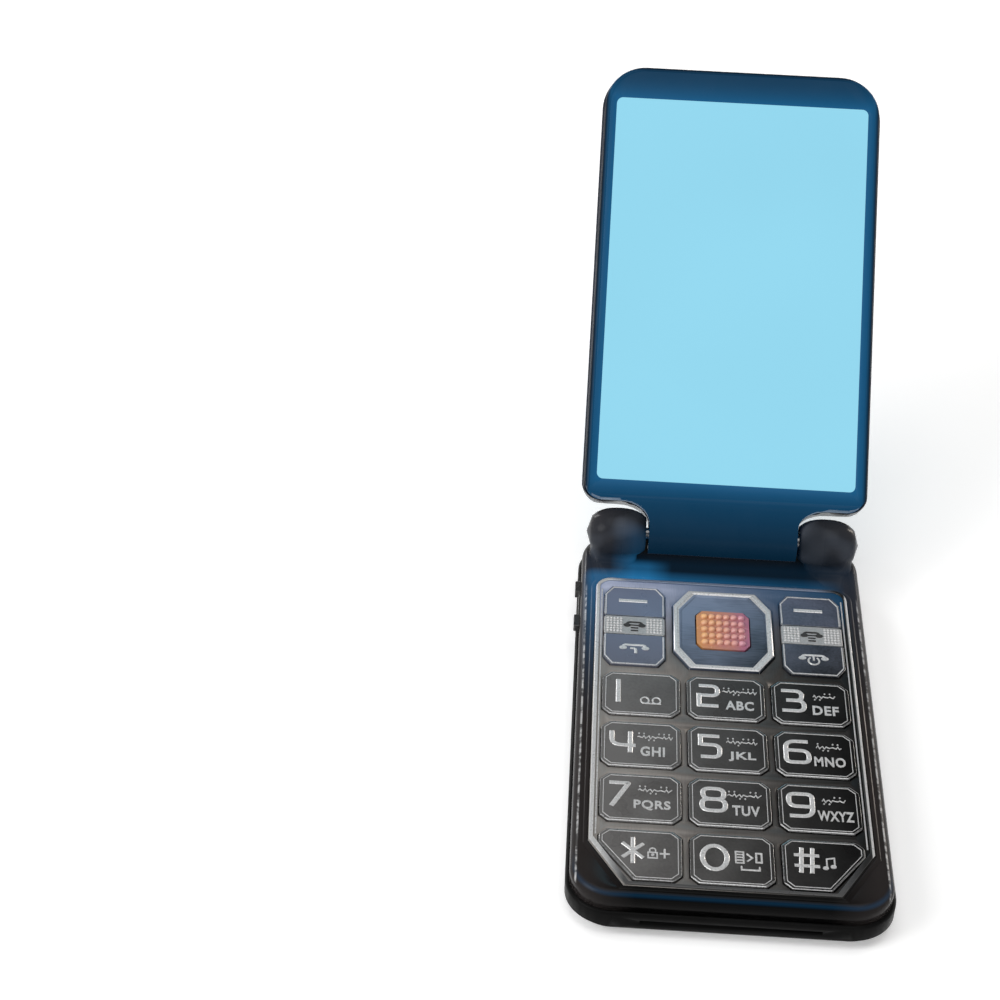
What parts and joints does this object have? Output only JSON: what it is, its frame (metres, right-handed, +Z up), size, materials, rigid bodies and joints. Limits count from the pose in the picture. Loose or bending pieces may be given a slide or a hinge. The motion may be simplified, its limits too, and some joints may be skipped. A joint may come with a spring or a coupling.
{
  "type": "clamshell feature phone",
  "caption": "Dark gloss clamshell phone lying open on its back, with a lit main display in the lid, an outer display, a camera and a framed metal keypad.",
  "frame": {"origin": "middle of the flat back face of the base", "axes": "+X to the right of the keypad, +Y from the keypad's front end to the hinge, +Z up out of the keypad"},
  "size_m": [0.0558, 0.1618, 0.0823],
  "materials": {
    "base_shell": "dark gloss moulded plastic",
    "rear_shell": "dark satin-gloss moulded plastic",
    "lid_shell": "dark slate gloss plastic",
    "lid_inside": "navy-black gloss plastic",
    "screen": "lit pale-cyan display window",
    "display": "display module",
    "keypad_metal": "dark grey brushed metallic plate",
    "bright_trim": "bright metal line",
    "number_keys": "dark grey key caps with bright bevels",
    "menu_keys": "blue-grey key caps",
    "strip_keys": "silver dotted caps",
    "nav": "blue-grey gloss face in a silver band",
    "select": "orange to pink studded cap",
    "rocker": "dark gloss plastic",
    "camera": "dark gloss ring",
    "lens": "black lens cover",
    "steel": "plain steel",
    "contact": "gold-plated contact",
    "board": "green laminate",
    "inner_plastic": "dark moulded plastic",
    "mat": "pale silicone rubber",
    "cable": "amber insulation"
  },
  "bodies": {
    "base": {"base_rear_housing": "rear_shell", "base_front_housing": "base_shell", "battery_cover": "rear_shell", "battery": "inner_plastic", "battery_contacts": "contact", "main_board": "board", "shield_can": "steel", "sim_holder": "steel", "card_holder": "steel", "loudspeaker": "inner_plastic", "microphone": "contact", "vibration_motor": "steel", "antenna": "contact", "volume_switches": "inner_plastic", "key_domes": "steel", "key_mat": "mat", "keypad_plate": "keypad_metal", "plate_trim": "bright_trim", "base_screws": "steel", "pivot_pin": "steel", "cam_shaft": "steel", "signal_cable_base": "cable"},
    "lid": {"lid_outer_cover": "lid_shell", "lid_inner_frame": "lid_inside", "screen_bezel": "lid_inside", "main_display_window": "screen", "main_display_panel": "display", "lid_board": "board", "outer_display_window": "screen", "outer_display_panel": "display", "camera_ring": "camera", "camera_glass": "lens", "camera_module": "inner_plastic", "earpiece": "inner_plastic", "lid_magnet": "steel", "lid_screws": "steel", "cam_cartridge": "steel", "signal_cable_lid": "cable"},
    "key_1": {"key_1": "number_keys"},
    "key_2": {"key_2": "number_keys"},
    "key_3": {"key_3": "number_keys"},
    "key_4": {"key_4": "number_keys"},
    "key_5": {"key_5": "number_keys"},
    "key_6": {"key_6": "number_keys"},
    "key_7": {"key_7": "number_keys"},
    "key_8": {"key_8": "number_keys"},
    "key_9": {"key_9": "number_keys"},
    "key_star": {"key_star": "number_keys"},
    "key_0": {"key_0": "number_keys"},
    "key_hash": {"key_hash": "number_keys"},
    "soft_key_left": {"soft_key_left": "menu_keys"},
    "soft_key_right": {"soft_key_right": "menu_keys"},
    "strip_key_left": {"strip_key_left": "strip_keys"},
    "strip_key_right": {"strip_key_right": "strip_keys"},
    "call_key": {"call_key": "menu_keys"},
    "end_key": {"end_key": "menu_keys"},
    "select_key": {"select_key": "select"},
    "nav_carrier": {"nav_carrier": "inner_plastic"},
    "nav_key": {"nav_key": "nav"},
    "volume_rocker": {"volume_rocker": "rocker"}
  },
  "joints": [
    {"name": "lid_hinge", "type": "hinge", "parent": "base", "child": "lid", "pos_m": [0, 0.0434, 0.0135], "axis": [1, 0, 0], "range_deg": [0, 135]},
    {"name": "key_1_press", "type": "slide", "parent": "base", "child": "key_1", "axis": [0, 0, -1], "range_m": [0, 0.0003], "stiffness_N_per_m": 4000},
    {"name": "key_2_press", "type": "slide", "parent": "base", "child": "key_2", "axis": [0, 0, -1], "range_m": [0, 0.0003], "stiffness_N_per_m": 4000},
    {"name": "key_3_press", "type": "slide", "parent": "base", "child": "key_3", "axis": [0, 0, -1], "range_m": [0, 0.0003], "stiffness_N_per_m": 4000},
    {"name": "key_4_press", "type": "slide", "parent": "base", "child": "key_4", "axis": [0, 0, -1], "range_m": [0, 0.0003], "stiffness_N_per_m": 4000},
    {"name": "key_5_press", "type": "slide", "parent": "base", "child": "key_5", "axis": [0, 0, -1], "range_m": [0, 0.0003], "stiffness_N_per_m": 4000},
    {"name": "key_6_press", "type": "slide", "parent": "base", "child": "key_6", "axis": [0, 0, -1], "range_m": [0, 0.0003], "stiffness_N_per_m": 4000},
    {"name": "key_7_press", "type": "slide", "parent": "base", "child": "key_7", "axis": [0, 0, -1], "range_m": [0, 0.0003], "stiffness_N_per_m": 4000},
    {"name": "key_8_press", "type": "slide", "parent": "base", "child": "key_8", "axis": [0, 0, -1], "range_m": [0, 0.0003], "stiffness_N_per_m": 4000},
    {"name": "key_9_press", "type": "slide", "parent": "base", "child": "key_9", "axis": [0, 0, -1], "range_m": [0, 0.0003], "stiffness_N_per_m": 4000},
    {"name": "key_star_press", "type": "slide", "parent": "base", "child": "key_star", "axis": [0, 0, -1], "range_m": [0, 0.0003], "stiffness_N_per_m": 4000},
    {"name": "key_0_press", "type": "slide", "parent": "base", "child": "key_0", "axis": [0, 0, -1], "range_m": [0, 0.0003], "stiffness_N_per_m": 4000},
    {"name": "key_hash_press", "type": "slide", "parent": "base", "child": "key_hash", "axis": [0, 0, -1], "range_m": [0, 0.0003], "stiffness_N_per_m": 4000},
    {"name": "soft_key_left_press", "type": "slide", "parent": "base", "child": "soft_key_left", "axis": [0, 0, -1], "range_m": [0, 0.0003], "stiffness_N_per_m": 4000},
    {"name": "soft_key_right_press", "type": "slide", "parent": "base", "child": "soft_key_right", "axis": [0, 0, -1], "range_m": [0, 0.0003], "stiffness_N_per_m": 4000},
    {"name": "strip_key_left_press", "type": "slide", "parent": "base", "child": "strip_key_left", "axis": [0, 0, -1], "range_m": [0, 0.0003], "stiffness_N_per_m": 4000},
    {"name": "strip_key_right_press", "type": "slide", "parent": "base", "child": "strip_key_right", "axis": [0, 0, -1], "range_m": [0, 0.0003], "stiffness_N_per_m": 4000},
    {"name": "call_key_press", "type": "slide", "parent": "base", "child": "call_key", "axis": [0, 0, -1], "range_m": [0, 0.0003], "stiffness_N_per_m": 4000},
    {"name": "end_key_press", "type": "slide", "parent": "base", "child": "end_key", "axis": [0, 0, -1], "range_m": [0, 0.0003], "stiffness_N_per_m": 4000},
    {"name": "select_key_press", "type": "slide", "parent": "base", "child": "select_key", "axis": [0, 0, -1], "range_m": [0, 0.0003], "stiffness_N_per_m": 4000},
    {"name": "nav_side_rock", "type": "hinge", "parent": "base", "child": "nav_carrier", "pos_m": [0, 0.0203, 0.0065], "axis": [0, 1, 0], "range_deg": [-1.2, 1.2], "stiffness_Nm_per_rad": 2},
    {"name": "nav_end_rock", "type": "hinge", "parent": "nav_carrier", "child": "nav_key", "pos_m": [0, 0.0203, 0.00735], "axis": [1, 0, 0], "range_deg": [-1.2, 1.2], "stiffness_Nm_per_rad": 2},
    {"name": "volume_rock", "type": "hinge", "parent": "base", "child": "volume_rocker", "pos_m": [-0.0263, 0.029, 0.00595], "axis": [0, 0, 1], "range_deg": [-2.5, 2.5], "stiffness_Nm_per_rad": 1}
  ]
}
